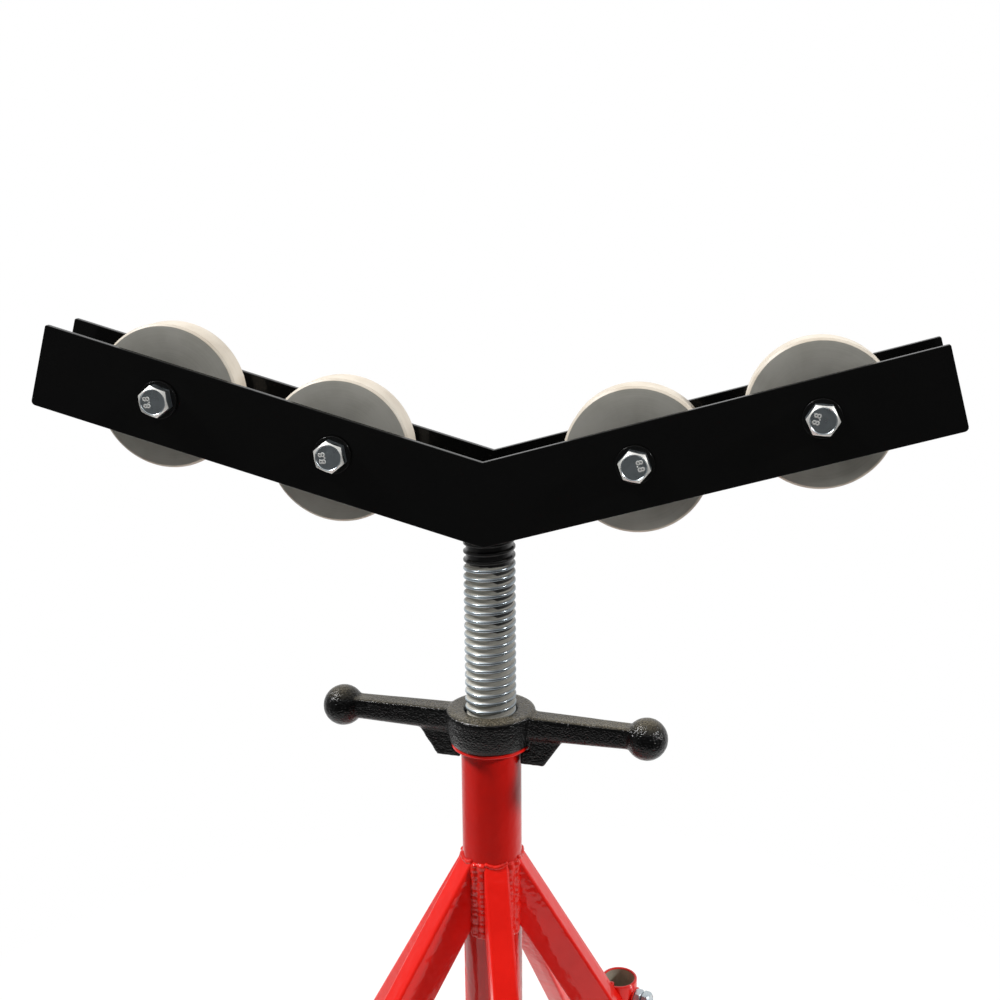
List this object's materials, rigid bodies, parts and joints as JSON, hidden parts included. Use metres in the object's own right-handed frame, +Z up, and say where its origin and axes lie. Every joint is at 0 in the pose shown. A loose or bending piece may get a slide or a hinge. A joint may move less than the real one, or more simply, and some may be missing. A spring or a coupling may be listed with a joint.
{
  "type": "roller stand",
  "caption": "Adjustable roller stand for pipe: a V head with ball-bearing wheels on a screw jack with a two-armed handle nut, over a welded five-legged base.",
  "frame": {"origin": "on the column's axis at floor level", "axes": "+Z up the column, +X along the V head to the right, +Y to the back"},
  "size_m": [0.872, 0.6202, 0.9798],
  "materials": {
    "red_enamel": "gloss enamel over welded steel",
    "black_enamel": "high gloss enamel over steel",
    "cast_black": "black enamel over a sand casting",
    "bright_zinc": "bright zinc plate",
    "cast_nylon": "turned grey nylon",
    "bearing_steel": "ground steel"
  },
  "bodies": {
    "base": {"column_tube": "red_enamel", "leg_1": "red_enamel", "leg_2": "red_enamel", "leg_3": "red_enamel", "leg_4": "red_enamel", "leg_5": "red_enamel", "foot_plate_1": "red_enamel", "foot_plate_2": "red_enamel", "foot_plate_3": "red_enamel", "foot_plate_4": "red_enamel", "foot_plate_5": "red_enamel", "leg_brace_1": "red_enamel", "leg_brace_2": "red_enamel", "leg_brace_3": "red_enamel", "leg_brace_4": "red_enamel", "leg_brace_5": "red_enamel", "accessory_socket": "red_enamel", "socket_nut": "bright_zinc"},
    "clamp_screw": {"set_screw": "bright_zinc"},
    "turntable": {"thrust_ring": "red_enamel"},
    "handle": {"handle_nut": "cast_black"},
    "head": {"jack_screw": "bright_zinc", "front_plate": "black_enamel", "back_plate": "black_enamel", "axle_bolt_1": "bright_zinc", "axle_bolt_2": "bright_zinc", "axle_bolt_3": "bright_zinc", "axle_bolt_4": "bright_zinc", "washer_1_front": "black_enamel", "washer_2_front": "black_enamel", "washer_3_front": "black_enamel", "washer_4_front": "black_enamel", "washer_1_rear": "bright_zinc", "washer_2_rear": "bright_zinc", "washer_3_rear": "bright_zinc", "washer_4_rear": "bright_zinc", "lock_nut_1": "bright_zinc", "lock_nut_2": "bright_zinc", "lock_nut_3": "bright_zinc", "lock_nut_4": "bright_zinc", "bush_1_front": "bright_zinc", "bush_2_front": "bright_zinc", "bush_3_front": "bright_zinc", "bush_4_front": "bright_zinc", "bush_1_rear": "bright_zinc", "bush_2_rear": "bright_zinc", "bush_3_rear": "bright_zinc", "bush_4_rear": "bright_zinc"},
    "roller_1": {"wheel_1": "cast_nylon", "bearing_1_front": "bearing_steel", "bearing_1_rear": "bearing_steel"},
    "roller_2": {"wheel_2": "cast_nylon", "bearing_2_front": "bearing_steel", "bearing_2_rear": "bearing_steel"},
    "roller_3": {"wheel_3": "cast_nylon", "bearing_3_front": "bearing_steel", "bearing_3_rear": "bearing_steel"},
    "roller_4": {"wheel_4": "cast_nylon", "bearing_4_front": "bearing_steel", "bearing_4_rear": "bearing_steel"}
  },
  "joints": [
    {"name": "clamp_travel", "type": "slide", "parent": "base", "child": "clamp_screw", "axis": [0.9397, -0.342, 0], "range_m": [-0.001, 0.008]},
    {"name": "head_swivel", "type": "hinge", "parent": "base", "child": "turntable", "pos_m": [0, 0, 0.5663], "axis": [0, 0, 1], "continuous": true},
    {"name": "nut_turn", "type": "hinge", "parent": "turntable", "child": "handle", "pos_m": [0, 0, 0.5681], "axis": [0, 0, 1], "range_deg": [-14030, 7225]},
    {"name": "screw_lift", "type": "slide", "parent": "turntable", "child": "head", "axis": [0, 0, 1], "range_m": [-0.17, 0.33]},
    {"name": "wheel_1_spin", "type": "hinge", "parent": "head", "child": "roller_1", "pos_m": [-0.30839, 0, 0.91026], "axis": [0, 1, 0], "continuous": true},
    {"name": "wheel_2_spin", "type": "hinge", "parent": "head", "child": "roller_2", "pos_m": [-0.1421, 0, 0.86258], "axis": [0, 1, 0], "continuous": true},
    {"name": "wheel_3_spin", "type": "hinge", "parent": "head", "child": "roller_3", "pos_m": [0.1421, 0, 0.86258], "axis": [0, 1, 0], "continuous": true},
    {"name": "wheel_4_spin", "type": "hinge", "parent": "head", "child": "roller_4", "pos_m": [0.30839, 0, 0.91026], "axis": [0, 1, 0], "continuous": true}
  ],
  "couplings": [
    {"joint": "screw_lift", "follows": "nut_turn", "m_per_rad": -0.0013476}
  ]
}
